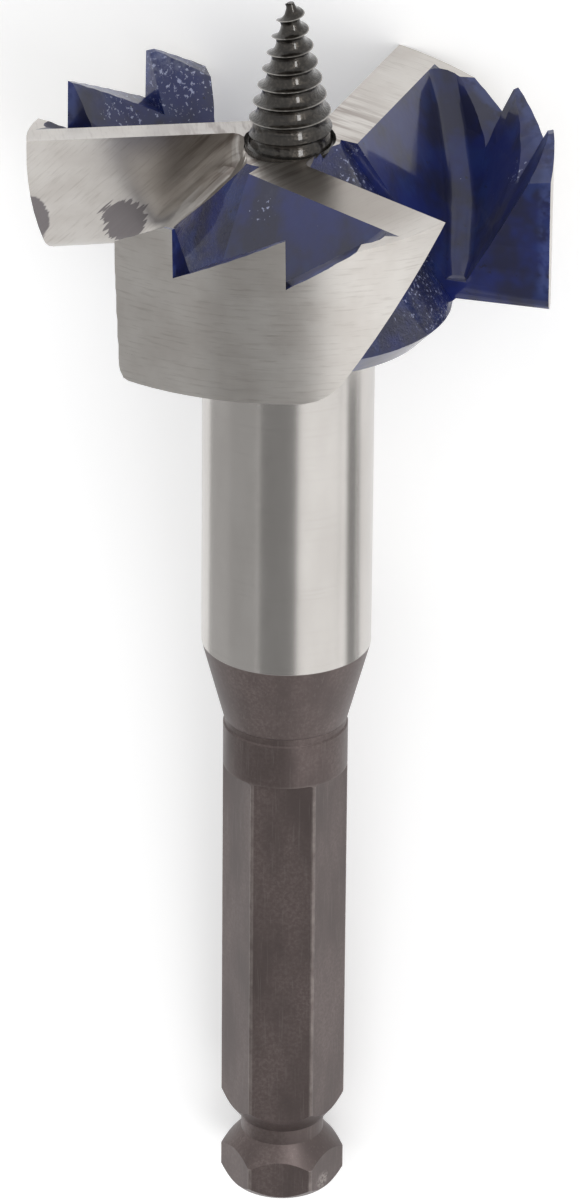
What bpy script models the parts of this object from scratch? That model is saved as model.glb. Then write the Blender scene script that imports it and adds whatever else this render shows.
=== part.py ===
"""Self-feed wood bit: a three-winged cutter head forged in one with its hex shank, a screw-in lead
point and the grub screw that holds it. Metres, +Z up. The bit is modelled with its axis on Z and
its cutting end up, and is then laid on its back, the way it comes to rest on a bench."""

import math

import bmesh
import bpy
from mathutils import Matrix, Vector

MM = 0.001

# Shank, from the driven end upwards. Each length is a stretch along the axis.
BAR_DIAMETER = 12.7 * MM
HEX_ACROSS_FLATS = 11.11 * MM
END_CHAMFER = 1.05 * MM
END_HEX_LENGTH = 3.4 * MM
GROOVE_DIAMETER = 8.56 * MM
GROOVE_LOWER_SLOPE = 2.4 * MM
GROOVE_LENGTH = 1.6 * MM
GROOVE_UPPER_SLOPE = 2.7 * MM
HEX_LENGTH = 38.6 * MM
FLAT_CORNER_RADIUS = 0.55 * MM
ROUND_NECK_LENGTH = 4.6 * MM
NECK_RELIEF_WIDTH = 1.0 * MM
NECK_RELIEF_DEPTH = 0.15 * MM
TAPER_LENGTH = 8.4 * MM
BODY_DIAMETER = 17.2 * MM
BODY_LENGTH = 34.25 * MM
HEX_TURN = math.radians(-2.0)

# Boss under the wings, as radius and height over the top of the round body.
BOSS_HEIGHT = 3.7 * MM
BOSS_FOOT_RADIUS = 11.5 * MM
BOSS_FOOT_RISE = 0.2 * MM
BOSS_KNEE_RADIUS = 14.0 * MM
BOSS_KNEE_RISE = 1.1 * MM
BOSS_TOP_RADIUS = 16.5 * MM

# Head
HEAD_DIAMETER = 51.7 * MM
WING_HEIGHT = 17.1 * MM
FIRST_LIP_ANGLE = math.radians(-54.9)
RAKE_ANGLE = math.radians(34.0)
LIP_SKEW = math.radians(4.0)
LIP_RELIEF_ANGLE = math.radians(8.7)
LIP_RELIEF_LENGTH = 11.5 * MM
LIP_RELIEF_AHEAD = 2.0 * MM
LIP_RELIEF_PAST_AXIS = 2.5 * MM
LIP_THICKNESS = 4.1 * MM
BLADE_BACK_ANGLE = math.radians(30.5)
BLADE_BACK_SKEW = math.radians(4.0)
# The lips are ground one at a time, and each falls towards the hub by its own angle.
LIP_FALLS = (math.radians(2.4), math.radians(0.0), math.radians(1.1))
WING_SWEEP = math.radians(74.0)
RIM_LEADING_ROUND = 2.0 * MM
RIM_TRAILING_ROUND = 1.4 * MM

# Hub between the wings, and the pockets and flutes cut beside it
HUB_SEAT_DROP = 2.0 * MM
HUB_TIP_RADIUS = 4.7 * MM
HUB_CONE_ANGLE = math.radians(33.5)
COVE_CORE_RADIUS = 4.8 * MM
COVE_CORE_ANGLE = math.radians(42.0)
COVE_CORE_DROP = 5.2 * MM
COVE_RADIUS = 2.6 * MM
COVE_TIP_RADIUS = 0.9 * MM
COVE_RUN_IN = 6.0 * MM
WEB_EDGE_TOP_ANGLE = math.radians(44.0)
WEB_EDGE_FOOT_ANGLE = math.radians(-8.6)
WEB_EDGE_DROP = 10.2 * MM
WEB_STEP = 0.08 * MM
FLUTE_SINK = 0.5 * MM
RIM_TOP_THICKNESS = 0.45 * MM
POCKET_WALL_ANGLE = math.radians(28.0)
POCKET_FLOOR_THICKNESS = 2.1 * MM
POCKET_FILLET_RADIUS = 1.6 * MM
WEB_END_LEAD = math.radians(7.0)

# Rim teeth: angles behind the lip's corner, and depths below it at the outer edge
FIRST_GULLET_START = math.radians(18.0)
FIRST_GULLET_START_DEPTH = 0.85 * MM
TOOTH_ANGLES = (math.radians(35.9), math.radians(60.7))
TOOTH_FACE_WIDTH = math.radians(0.2)
TOOTH_POINT_DEPTH = 0.04 * MM
GULLET_DEPTH = 5.1 * MM
LAST_TOOTH_LAND = math.radians(2.1)
RIM_END_DEPTH = 2.55 * MM
TOOTH_TOP_BEVEL = math.radians(11.0)
TOOTH_ROOT_INSET = 4.25 * MM

# Lead point with its collar and its stem in the head
LEAD_LENGTH = 15.6 * MM
LEAD_CREST_RADIUS = 4.1 * MM
LEAD_COLLAR_RADIUS = 4.2 * MM
LEAD_COLLAR_LENGTH = 1.0 * MM
LEAD_STRAIGHT_LENGTH = 3.9 * MM
LEAD_HALF_ANGLE = math.radians(14.7)
LEAD_POINT_ANGLE = math.radians(38.0)
LEAD_COLLAR_CHAMFER = 0.1 * MM
THREAD_PITCH = 1.7 * MM
THREAD_DEPTH = 0.66 * MM
THREAD_RUN_OUT = 2.2 * MM
STEM_RADIUS = 3.2 * MM
STEM_LENGTH = 30.0 * MM
STEM_CHAMFER = 0.5 * MM
STEM_FLAT_DEPTH = 0.6 * MM
STEM_FLAT_LENGTH = 8.0 * MM

# Grub screw in the round body
GRUB_DIAMETER = 5.0 * MM
GRUB_SOCKET_ACROSS_FLATS = 2.5 * MM
GRUB_SOCKET_DEPTH = 2.2 * MM
GRUB_RISE = 5.8 * MM
GRUB_CHAMFER = 0.35 * MM
GRUB_SINK = 0.5 * MM
GRUB_ANGLE = math.radians(90.0)
GRUB_CUP_DEPTH = 0.5 * MM

FIT_CLEARANCE = 0.3 * MM
CUT_MARGIN = 3.0 * MM
PAST_EDGE = math.radians(6.0)
MOST_REST_TILT = math.radians(25.0)

ROUND_STEPS = 96
SMALL_STEPS = 32
THREAD_STEPS = 24
THREAD_ROWS = 5

# Heights along the axis, worked out from the lengths above
GROOVE_FOOT = END_HEX_LENGTH + GROOVE_LOWER_SLOPE
GROOVE_HEAD = GROOVE_FOOT + GROOVE_LENGTH
HEX_FOOT = GROOVE_HEAD + GROOVE_UPPER_SLOPE
HEX_TOP = HEX_FOOT + HEX_LENGTH
NECK_TOP = HEX_TOP + ROUND_NECK_LENGTH
TAPER_FOOT = NECK_TOP + NECK_RELIEF_WIDTH
BODY_FOOT = TAPER_FOOT + TAPER_LENGTH
BODY_TOP = BODY_FOOT + BODY_LENGTH
WING_FOOT = BODY_TOP + BOSS_HEIGHT
LIP_TOP = WING_FOOT + WING_HEIGHT
HUB_SEAT = LIP_TOP - HUB_SEAT_DROP
POCKET_FLOOR = WING_FOOT + POCKET_FLOOR_THICKNESS
COLLAR_FOOT = HUB_SEAT + FIT_CLEARANCE
LEAD_TIP = COLLAR_FOOT + LEAD_LENGTH
STEM_FOOT = COLLAR_FOOT - STEM_LENGTH
GRUB_HEIGHT = STEM_FOOT + GRUB_RISE
BAR_RADIUS = BAR_DIAMETER / 2
BODY_RADIUS = BODY_DIAMETER / 2
HEAD_RADIUS = HEAD_DIAMETER / 2
GRUB_RADIUS = GRUB_DIAMETER / 2
GRUB_FOOT = STEM_RADIUS - STEM_FLAT_DEPTH + FIT_CLEARANCE
GRUB_LENGTH = BODY_RADIUS - GRUB_SINK - GRUB_FOOT
POCKET_MOUTH_RADIUS = HEAD_RADIUS - RIM_TOP_THICKNESS
TOOTH_ROOT_RADIUS = HEAD_RADIUS - TOOTH_ROOT_INSET
WING_PITCH = 2 * math.pi / len(LIP_FALLS)
BEYOND_HEAD = HEAD_RADIUS + 2 * CUT_MARGIN
ABOVE_HEAD = LIP_TOP + CUT_MARGIN


def clear_scene():
    for obj in list(bpy.data.objects):
        bpy.data.objects.remove(obj, do_unlink=True)


def new_collection(name):
    made = bpy.data.collections.new(name)
    bpy.context.scene.collection.children.link(made)
    return made


def new_material(name, colour, metallic, roughness):
    made = bpy.data.materials.new(name)
    made.use_nodes = True
    shader = made.node_tree.nodes["Principled BSDF"]
    shader.inputs["Base Color"].default_value = (*colour, 1.0)
    shader.inputs["Metallic"].default_value = metallic
    shader.inputs["Roughness"].default_value = roughness
    return made


def add_object(name, mesh, collection):
    made = bpy.data.objects.new(name, mesh)
    collection.objects.link(made)
    return made


def finish_mesh(shape, name):
    """A mesh from a closed bmesh, with its faces pointing out."""
    bmesh.ops.recalc_face_normals(shape, faces=shape.faces)
    mesh = bpy.data.meshes.new(name)
    shape.to_mesh(mesh)
    shape.free()
    return mesh


def add_cutter(name, mesh):
    made = add_object(name, mesh, cutters)
    made.hide_render = True
    made.display_type = "WIRE"
    return made


def cut(target, cutter):
    modifier = target.modifiers.new("cut " + cutter.name, "BOOLEAN")
    modifier.operation = "DIFFERENCE"
    modifier.solver = "EXACT"
    modifier.object = cutter


def cut_together(target, tools):
    """One cut by all the tools at once, which share a collection of their own."""
    rack = bpy.data.collections.new(target.name + "_cutters")
    cutters.children.link(rack)
    for tool in tools:
        cutters.objects.unlink(tool)
        rack.objects.link(tool)
    modifier = target.modifiers.new("cut with " + rack.name, "BOOLEAN")
    modifier.operation = "DIFFERENCE"
    modifier.solver = "EXACT"
    modifier.operand_type = "COLLECTION"
    modifier.collection = rack


def join(target, other):
    modifier = target.modifiers.new("join " + other.name, "BOOLEAN")
    modifier.operation = "UNION"
    modifier.solver = "EXACT"
    modifier.object = other


def turned(name, profile, steps, collection):
    """A solid of revolution about Z from (radius, height) points, top to bottom."""
    mesh = bpy.data.meshes.new(name)
    points = [(radius, 0.0, height) for radius, height in profile]
    mesh.from_pydata(points, [(i, i + 1) for i in range(len(points) - 1)], [])
    made = add_object(name, mesh, collection)
    screw = made.modifiers.new("turn", "SCREW")
    screw.axis = "Z"
    screw.steps = steps
    screw.render_steps = steps
    screw.use_merge_vertices = True
    screw.merge_threshold = 0.00001
    return made


def loft_mesh(name, sections):
    """A closed skin through loops of equally many points, with a face over each end."""
    shape = bmesh.new()
    rings = [[shape.verts.new(point) for point in section] for section in sections]
    count = len(sections[0])
    for lower, upper in zip(rings, rings[1:]):
        for i in range(count):
            j = (i + 1) % count
            shape.faces.new((lower[i], lower[j], upper[j], upper[i]))
    shape.faces.new(rings[0])
    shape.faces.new(rings[-1])
    return finish_mesh(shape, name)


def cylinder_mesh(name, radius, length, steps):
    """A cylinder on Z from height 0 to its length."""
    shape = bmesh.new()
    middle = Matrix.Translation((0, 0, length / 2))
    bmesh.ops.create_cone(
        shape,
        cap_ends=True,
        segments=steps,
        radius1=radius,
        radius2=radius,
        depth=length,
        matrix=middle,
    )
    return finish_mesh(shape, name)


def polar(radius, angle):
    return Vector((radius * math.cos(angle), radius * math.sin(angle)))


def arc(centre, radius, start, end, count):
    """Points on an arc between two angles, both ends included."""
    return [
        centre + polar(radius, start + (end - start) * i / (count - 1)) for i in range(count)
    ]


def angle_near(angle, reference):
    """The same direction, written within half a turn of the reference."""
    return reference + math.remainder(angle - reference, 2 * math.pi)


class Line:
    """A straight line in plan, given by a point on it and its direction."""

    def __init__(self, point, angle):
        self.point = point
        self.along = polar(1.0, angle)
        self.normal = polar(1.0, angle + math.pi / 2)
        self.distance = self.normal.dot(point)

    def at(self, radius, offset=0.0):
        """The outer point at this radius on the line moved sideways by the offset."""
        reach = self.distance + offset
        return self.normal * reach + self.along * math.sqrt(max(radius**2 - reach**2, 0.0))


def round_off(height, radius):
    """How far an edge draws back, near the underside of the wings, for a rounded corner."""
    rise = min(max(height - WING_FOOT, 0.0), radius)
    return radius - math.sqrt(radius**2 - (radius - rise) ** 2)


def rake_line(height):
    """The front of a wing in plan. X runs out along its lip and -Y is behind it."""
    set_back = (LIP_TOP - height) * math.tan(RAKE_ANGLE)
    set_back += round_off(height, RIM_LEADING_ROUND)
    return Line(Vector((HEAD_RADIUS, -set_back)), LIP_SKEW)


def back_line(height):
    """The back of a wing's blade in plan."""
    set_back = LIP_THICKNESS + (LIP_TOP - height) * math.tan(BLADE_BACK_ANGLE)
    return Line(Vector((HEAD_RADIUS, -set_back)), BLADE_BACK_SKEW)


def hub_radius(height):
    return HUB_TIP_RADIUS + (LIP_TOP - height) * math.tan(HUB_CONE_ANGLE)


def core_radius(height):
    """The radius that the cove at the flute's root reaches in to."""
    depth = LIP_TOP - COVE_CORE_DROP - height
    return COVE_CORE_RADIUS + max(depth, 0.0) * math.tan(COVE_CORE_ANGLE)


def cove_radius(height):
    share = min(max((LIP_TOP - height) / COVE_RUN_IN, 0.0), 1.0)
    return COVE_TIP_RADIUS + (COVE_RADIUS - COVE_TIP_RADIUS) * share


def web_edge_angle(height):
    """Where the flute meets the hub's cone, turned from the lip behind it."""
    share = min(max((LIP_TOP - height) / WEB_EDGE_DROP, 0.0), 1.0)
    return WEB_EDGE_TOP_ANGLE + (WEB_EDGE_FOOT_ANGLE - WEB_EDGE_TOP_ANGLE) * share


def pocket_wall_radius(height):
    return POCKET_MOUTH_RADIUS - (LIP_TOP - height) * math.tan(POCKET_WALL_ANGLE)


def turn_section(points, angle, height):
    spin = Matrix.Rotation(angle, 2)
    return [(*(spin @ point), height) for point in points]


def flute_section(height):
    """Plan of a flute in the frame of the wing behind its left side: along that wing's rake
    face, round the cove, straight to the hub, round the end of the next wing and out."""
    rake = rake_line(height)
    bend = cove_radius(height)
    centre = rake.at(core_radius(height) + bend, bend)
    outside = rake.at(BEYOND_HEAD)
    web_radius = hub_radius(height) - WEB_STEP
    edge = polar(web_radius, web_edge_angle(height))
    gap = edge - centre
    lean = math.acos(min(bend / gap.length, 1.0))
    start = math.atan2(-rake.normal.y, -rake.normal.x)
    end = math.atan2(gap.y, gap.x) + lean
    end = start + (end - start) % (-2 * math.pi)
    cove = arc(centre, bend, start, end, 8)
    straight = [cove[-1].lerp(edge, share) for share in (0.33, 0.67)]
    web_angle = WING_PITCH - WING_SWEEP + WEB_END_LEAD
    hub = []
    for i in range(8):
        share = i / 7
        turn = web_edge_angle(height) + (web_angle - web_edge_angle(height)) * share
        hub.append(polar(web_radius, turn))
    draw_back = round_off(height, RIM_TRAILING_ROUND) / HEAD_RADIUS
    rim_end = polar(HEAD_RADIUS, WING_PITCH - WING_SWEEP + draw_back)
    web_end = polar(BOSS_TOP_RADIUS, web_angle + draw_back)
    past_rim = rim_end + (rim_end - web_end).normalized() * 2 * CUT_MARGIN
    far = [polar(BEYOND_HEAD, math.atan2(past_rim.y, past_rim.x) * share) for share in (0.8, 0.4)]
    return [outside] + cove + straight + hub + [past_rim] + far


def pocket_section(height):
    """Plan of the pocket behind a wing's blade: in along the back of the blade, round the hub
    to where the next flute cuts it off, out to the rim and back along the rim's inner wall."""
    back = back_line(height)
    hub = hub_radius(height)
    wall = pocket_wall_radius(height)
    nearest = abs(back.distance)
    fillet = min(POCKET_FILLET_RADIUS, (wall - max(hub, nearest)) / 3)
    centre = back.at(wall - fillet, -fillet)
    on_back = centre + back.normal * fillet
    towards_back = math.atan2(back.normal.y, back.normal.x)
    towards_wall = angle_near(math.atan2(centre.y, centre.x), towards_back)
    corner = arc(centre, fillet, towards_wall, towards_back, 5)
    hub_end = back.at(max(hub, nearest))
    hub_start_angle = math.atan2(hub_end.y, hub_end.x)
    hub_far_angle = min(WEB_END_LEAD - WING_SWEEP, hub_start_angle) - PAST_EDGE
    hub_points = []
    for i in range(14):
        share = i / 13
        radius = hub + max(nearest - hub, 0.0) * (1 - share) ** 3
        hub_points.append(polar(radius, hub_start_angle + (hub_far_angle - hub_start_angle) * share))
    step_out = polar((hub + wall) / 2, hub_far_angle)
    wall_points = arc(Vector((0, 0)), wall, -WING_SWEEP - 2 * PAST_EDGE, towards_wall, 14)[:-1]
    straight = [on_back.lerp(hub_end, share) for share in (0.33, 0.66)]
    return corner + straight + hub_points + [step_out] + wall_points


def heights_between(low, high, middle):
    return sorted({low, high, *[height for height in middle if low < height < high]})


def flute_cutter(angle):
    rounding = [WING_FOOT + RIM_LEADING_ROUND * share for share in (0.0, 0.15, 0.4, 0.7, 1.0)]
    bulk = [WING_FOOT + WING_HEIGHT * share for share in (0.25, 0.4, 0.55)]
    turns = [LIP_TOP - COVE_CORE_DROP, LIP_TOP - COVE_RUN_IN, LIP_TOP - WEB_EDGE_DROP]
    turns += [LIP_TOP - 0.4 * COVE_CORE_DROP, LIP_TOP]
    middle = rounding + bulk + turns
    heights = heights_between(WING_FOOT - FLUTE_SINK, ABOVE_HEAD, middle)
    sections = [turn_section(flute_section(height), angle, height) for height in heights]
    return add_cutter("flute", loft_mesh("flute", sections))


def pocket_cutter(angle):
    bulk = [WING_FOOT + WING_HEIGHT * share for share in (0.2, 0.35, 0.5, 0.7)]
    middle = bulk + [LIP_TOP - WEB_EDGE_DROP, LIP_TOP]
    heights = heights_between(POCKET_FLOOR, ABOVE_HEAD, middle)
    sections = [turn_section(pocket_section(height), angle, height) for height in heights]
    return add_cutter("pocket", loft_mesh("pocket", sections))


def relief_cutter(angle, fall):
    """Everything over the ground strip that falls away behind a lip."""
    spin = Matrix.Rotation(angle, 3, "Z")
    front = LIP_RELIEF_AHEAD
    rear = -LIP_RELIEF_LENGTH
    sections = []
    for reach in (-LIP_RELIEF_PAST_AXIS, BEYOND_HEAD):
        inward = HEAD_RADIUS - reach
        low = LIP_TOP - inward * math.tan(fall)
        lip = -inward * (math.tan(LIP_SKEW) + math.tan(fall) * math.tan(RAKE_ANGLE))
        loop = []
        for offset in (front, rear):
            drop = (lip - offset) * math.tan(LIP_RELIEF_ANGLE)
            loop.append(Vector((reach, offset, low - drop)))
        loop.append(Vector((reach, rear, ABOVE_HEAD)))
        loop.append(Vector((reach, front, ABOVE_HEAD)))
        sections.append([spin @ point for point in loop])
    return add_cutter("relief", loft_mesh("relief", sections))


def rim_top_profile():
    """(angle behind the lip, depth below it) along the rim's outer edge, front to end."""
    first, second = TOOTH_ANGLES
    half = TOOTH_FACE_WIDTH / 2
    return [
        (FIRST_GULLET_START, FIRST_GULLET_START_DEPTH),
        (first - half, GULLET_DEPTH),
        (first + half, TOOTH_POINT_DEPTH),
        (second - half, GULLET_DEPTH),
        (second + half, TOOTH_POINT_DEPTH),
        (second + half + LAST_TOOTH_LAND, TOOTH_POINT_DEPTH),
        (WING_SWEEP, RIM_END_DEPTH),
        (WING_SWEEP + math.radians(5), 1.5 * RIM_END_DEPTH),
    ]


def rim_top_cutter(angle):
    """The space over the teeth, as a ring sector whose underside is the row of teeth."""
    profile = rim_top_profile()
    stations = []
    for (start, depth), (end, end_depth) in zip(profile, profile[1:]):
        count = max(1, round((end - start) / math.radians(4)))
        for i in range(count):
            share = i / count
            stations.append((start + (end - start) * share, depth + (end_depth - depth) * share))
    stations.append(profile[-1])
    inner = TOOTH_ROOT_RADIUS
    outer = HEAD_RADIUS + CUT_MARGIN
    sections = []
    for behind, depth in stations:
        loop = []
        for radius in (inner, outer):
            slope = (HEAD_RADIUS - radius) * math.tan(TOOTH_TOP_BEVEL)
            loop.append((*polar(radius, angle - behind), LIP_TOP - depth - slope))
        for radius in (outer, inner):
            loop.append((*polar(radius, angle - behind), ABOVE_HEAD))
        sections.append(loop)
    return add_cutter("rim_top", loft_mesh("rim_top", sections))


def flats_cutter():
    """Six plates with rounded top corners, standing round the bar where its flats are milled."""
    apothem = HEX_ACROSS_FLATS / 2
    width = 2 * apothem * math.tan(math.pi / 6) * 0.998
    depth = BAR_RADIUS - apothem + CUT_MARGIN
    low = -CUT_MARGIN
    whole = bmesh.new()
    for i in range(6):
        spin = Matrix.Rotation(HEX_TURN - math.pi / 2 + i * math.pi / 3, 4, "Z")
        place = Matrix.Translation((apothem + depth / 2, 0, (HEX_TOP + low) / 2))
        size = Matrix.Diagonal((depth, width, HEX_TOP - low, 1))
        plate = bmesh.ops.create_cube(whole, size=1.0, matrix=spin @ place @ size)
        corners = [
            edge
            for edge in {edge for vert in plate["verts"] for edge in vert.link_edges}
            if all(abs(vert.co.z - HEX_TOP) < 0.01 * MM for vert in edge.verts)
            and abs((edge.verts[0].co - edge.verts[1].co).length - depth) < 0.01 * MM
        ]
        bmesh.ops.bevel(
            whole,
            geom=corners,
            offset=FLAT_CORNER_RADIUS,
            offset_type="OFFSET",
            segments=3,
            profile=0.5,
            affect="EDGES",
        )
    return add_cutter("hex_flats", finish_mesh(whole, "hex_flats"))


def body_profile():
    """The turned and forged blank, from the top of the head down to the driven end."""
    return [
        (0.0, LIP_TOP),
        (HEAD_RADIUS, LIP_TOP),
        (HEAD_RADIUS, WING_FOOT),
        (BOSS_TOP_RADIUS, WING_FOOT),
        (BOSS_KNEE_RADIUS, BODY_TOP + BOSS_KNEE_RISE),
        (BOSS_FOOT_RADIUS, BODY_TOP + BOSS_FOOT_RISE),
        (BODY_RADIUS, BODY_TOP),
        (BODY_RADIUS, BODY_FOOT),
        (BAR_RADIUS, TAPER_FOOT),
        (BAR_RADIUS - NECK_RELIEF_DEPTH, TAPER_FOOT - NECK_RELIEF_DEPTH),
        (BAR_RADIUS - NECK_RELIEF_DEPTH, NECK_TOP + NECK_RELIEF_DEPTH),
        (BAR_RADIUS, NECK_TOP),
        (BAR_RADIUS, HEX_FOOT),
        (GROOVE_DIAMETER / 2, GROOVE_HEAD),
        (GROOVE_DIAMETER / 2, GROOVE_FOOT),
        (BAR_RADIUS, END_HEX_LENGTH),
        (BAR_RADIUS, END_CHAMFER),
        (BAR_RADIUS - END_CHAMFER, 0.0),
        (0.0, 0.0),
    ]


def bore_cutter():
    """The blind bore for the lead point's stem, opened out round its collar."""
    stem = STEM_RADIUS + FIT_CLEARANCE
    collar = LEAD_COLLAR_RADIUS + FIT_CLEARANCE
    profile = [
        (0.0, ABOVE_HEAD),
        (collar, ABOVE_HEAD),
        (collar, HUB_SEAT),
        (stem, HUB_SEAT),
        (stem, STEM_FOOT - FIT_CLEARANCE),
        (0.0, STEM_FOOT - FIT_CLEARANCE - stem * math.tan(math.radians(30))),
    ]
    made = turned("bore", profile, SMALL_STEPS, cutters)
    made.hide_render = True
    made.display_type = "WIRE"
    return made


def grub_place(distance):
    """A frame whose Z runs out through the grub screw's hole, this far from the bit's axis."""
    lean = Matrix.Rotation(GRUB_ANGLE, 4, "Z") @ Matrix.Rotation(math.pi / 2, 4, "Y")
    return Matrix.Translation((0, 0, GRUB_HEIGHT)) @ lean @ Matrix.Translation((0, 0, distance))


def grub_hole_cutter():
    mesh = cylinder_mesh("grub_hole", GRUB_RADIUS + FIT_CLEARANCE, BODY_DIAMETER, SMALL_STEPS)
    mesh.transform(grub_place(0.0))
    return add_cutter("grub_hole", mesh)


def make_cutter_body():
    body = turned("cutter_body", body_profile(), ROUND_STEPS, parts)
    tools = [flats_cutter(), bore_cutter(), grub_hole_cutter()]
    for i, fall in enumerate(LIP_FALLS):
        angle = FIRST_LIP_ANGLE + i * WING_PITCH
        tools += [flute_cutter(angle), pocket_cutter(angle), rim_top_cutter(angle)]
        tools.append(relief_cutter(angle, fall))
    cut_together(body, tools)
    body.data.materials.append(new_material("ground steel", (0.56, 0.54, 0.51), 1.0, 0.32))
    return body


def lead_crest(height):
    """Radius of the thread's crests at a height over the collar's foot."""
    taper = max(height - LEAD_STRAIGHT_LENGTH, 0.0) * math.tan(LEAD_HALF_ANGLE)
    to_tip = (LEAD_LENGTH - height) * math.tan(LEAD_POINT_ANGLE)
    return max(min(LEAD_CREST_RADIUS - taper, to_tip), 0.0)


def thread_depth(height):
    """Depth of the thread, which runs out above the collar and at the very tip."""
    above = (height - LEAD_COLLAR_LENGTH) / THREAD_RUN_OUT
    below = (LEAD_LENGTH - height) / THREAD_RUN_OUT
    return THREAD_DEPTH * min(max(above, 0.0), max(below, 0.0), 1.0)


def make_lead_thread():
    """A right-hand tapered thread as a grid that climbs one pitch a turn. Rows past either end
    are held at that end, so the grid closes on a flat foot and on the tip."""
    pitches = math.ceil((LEAD_LENGTH - LEAD_COLLAR_LENGTH) / THREAD_PITCH) + 1
    across = (0.0, 0.16, 0.42, 0.66, 0.88)
    depths = (0.0, 0.72, 1.0, 0.82, 0.3)
    shape = bmesh.new()
    rows = []
    for row in range(-THREAD_ROWS, pitches * THREAD_ROWS + 1):
        turn, place = divmod(row, THREAD_ROWS)
        points = []
        for step in range(THREAD_STEPS + 1):
            share = step / THREAD_STEPS
            height = LEAD_COLLAR_LENGTH + (turn + across[place] + share) * THREAD_PITCH
            height = min(max(height, LEAD_COLLAR_LENGTH), LEAD_LENGTH)
            radius = max(lead_crest(height) - depths[place] * thread_depth(height), 0.0)
            points.append(shape.verts.new((*polar(radius, share * 2 * math.pi), height)))
        rows.append(points)
    for lower, upper in zip(rows, rows[1:]):
        for i in range(THREAD_STEPS):
            shape.faces.new((lower[i], lower[i + 1], upper[i + 1], upper[i]))
    bmesh.ops.remove_doubles(shape, verts=shape.verts, dist=0.002 * MM)
    bmesh.ops.dissolve_degenerate(shape, edges=shape.edges, dist=0.002 * MM)
    bmesh.ops.holes_fill(shape, edges=shape.edges, sides=0)
    mesh = finish_mesh(shape, "feed_screw")
    mesh.transform(Matrix.Translation((0, 0, COLLAR_FOOT)))
    return mesh


def stem_object():
    """The collar under the thread and the stem with its clamping flat."""
    collar_top = COLLAR_FOOT + LEAD_COLLAR_LENGTH
    into_thread = collar_top + THREAD_PITCH / 4
    profile = [
        (0.0, into_thread),
        (LEAD_CREST_RADIUS - 2 * THREAD_DEPTH, into_thread),
        (LEAD_COLLAR_RADIUS, collar_top - LEAD_COLLAR_CHAMFER),
        (LEAD_COLLAR_RADIUS, COLLAR_FOOT),
        (STEM_RADIUS, COLLAR_FOOT),
        (STEM_RADIUS, STEM_FOOT + STEM_CHAMFER),
        (STEM_RADIUS - STEM_CHAMFER, STEM_FOOT),
        (0.0, STEM_FOOT),
    ]
    made = turned("stem", profile, SMALL_STEPS, cutters)
    made.hide_render = True
    made.display_type = "WIRE"
    return made


def stem_flat_cutter():
    shape = bmesh.new()
    bmesh.ops.create_cube(shape, size=1.0)
    mesh = finish_mesh(shape, "stem_flat")
    size = Matrix.Diagonal((STEM_FLAT_LENGTH, 4 * STEM_RADIUS, 2 * STEM_RADIUS, 1))
    middle = STEM_RADIUS - STEM_FLAT_DEPTH + STEM_RADIUS
    mesh.transform(grub_place(middle) @ size)
    return add_cutter("stem_flat", mesh)


def make_feed_screw():
    screw = add_object("feed_screw", make_lead_thread(), parts)
    join(screw, stem_object())
    cut(screw, stem_flat_cutter())
    screw.data.materials.append(new_material("oiled black steel", (0.035, 0.033, 0.03), 1.0, 0.35))
    return screw


def make_set_screw():
    profile = [
        (0.0, GRUB_LENGTH),
        (GRUB_RADIUS - GRUB_CHAMFER, GRUB_LENGTH),
        (GRUB_RADIUS, GRUB_LENGTH - GRUB_CHAMFER),
        (GRUB_RADIUS, 2 * GRUB_CHAMFER),
        (GRUB_RADIUS - 2 * GRUB_CHAMFER, 0.0),
        (GRUB_RADIUS / 2, 0.0),
        (0.0, GRUB_CUP_DEPTH),
    ]
    screw = turned("set_screw", profile, SMALL_STEPS, parts)
    socket_radius = GRUB_SOCKET_ACROSS_FLATS / 2 / math.cos(math.pi / 6)
    mesh = cylinder_mesh("grub_socket", socket_radius, CUT_MARGIN + GRUB_SOCKET_DEPTH, 6)
    mesh.transform(Matrix.Translation((0, 0, GRUB_LENGTH - GRUB_SOCKET_DEPTH)))
    socket = add_cutter("grub_socket", mesh)
    screw.matrix_world = grub_place(GRUB_FOOT)
    socket.matrix_world = grub_place(GRUB_FOOT)
    cut(screw, socket)
    screw.data.materials.append(new_material("black oxide", (0.05, 0.05, 0.05), 1.0, 0.45))
    return screw


def hull_points(objects):
    """World points of the evaluated objects."""
    bpy.context.view_layer.update()
    graph = bpy.context.evaluated_depsgraph_get()
    points = []
    for obj in objects:
        evaluated = obj.evaluated_get(graph)
        mesh = evaluated.to_mesh()
        points += [evaluated.matrix_world @ vert.co for vert in mesh.vertices]
        evaluated.to_mesh_clear()
    return points


def rest_turn(points):
    """The turn that lays the bit down on its back, on the three points it would rest on. The
    underside is the widest face of its convex hull among those that look backwards."""
    shape = bmesh.new()
    verts = [shape.verts.new(point) for point in points if point.y > 0]
    hull = bmesh.ops.convex_hull(shape, input=verts)
    faces = [item for item in hull["geom"] if isinstance(item, bmesh.types.BMFace)]
    middle = Vector((0, 0, LEAD_TIP / 2))
    best = None
    for face in faces:
        normal = face.normal.copy()
        if normal.dot(face.calc_center_median() - middle) < 0:
            normal.negate()
        if normal.y < math.cos(MOST_REST_TILT):
            continue
        if best is None or face.calc_area() > best[0]:
            best = (face.calc_area(), normal)
    shape.free()
    down = Vector((0, 0, -1))
    normal = best[1]
    turn = normal.rotation_difference(down).to_matrix()
    axis = turn @ Vector((0, 0, 1))
    heading = Matrix.Rotation(math.pi / 2 - math.atan2(axis.y, axis.x), 3, "Z")
    return heading @ turn


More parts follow.
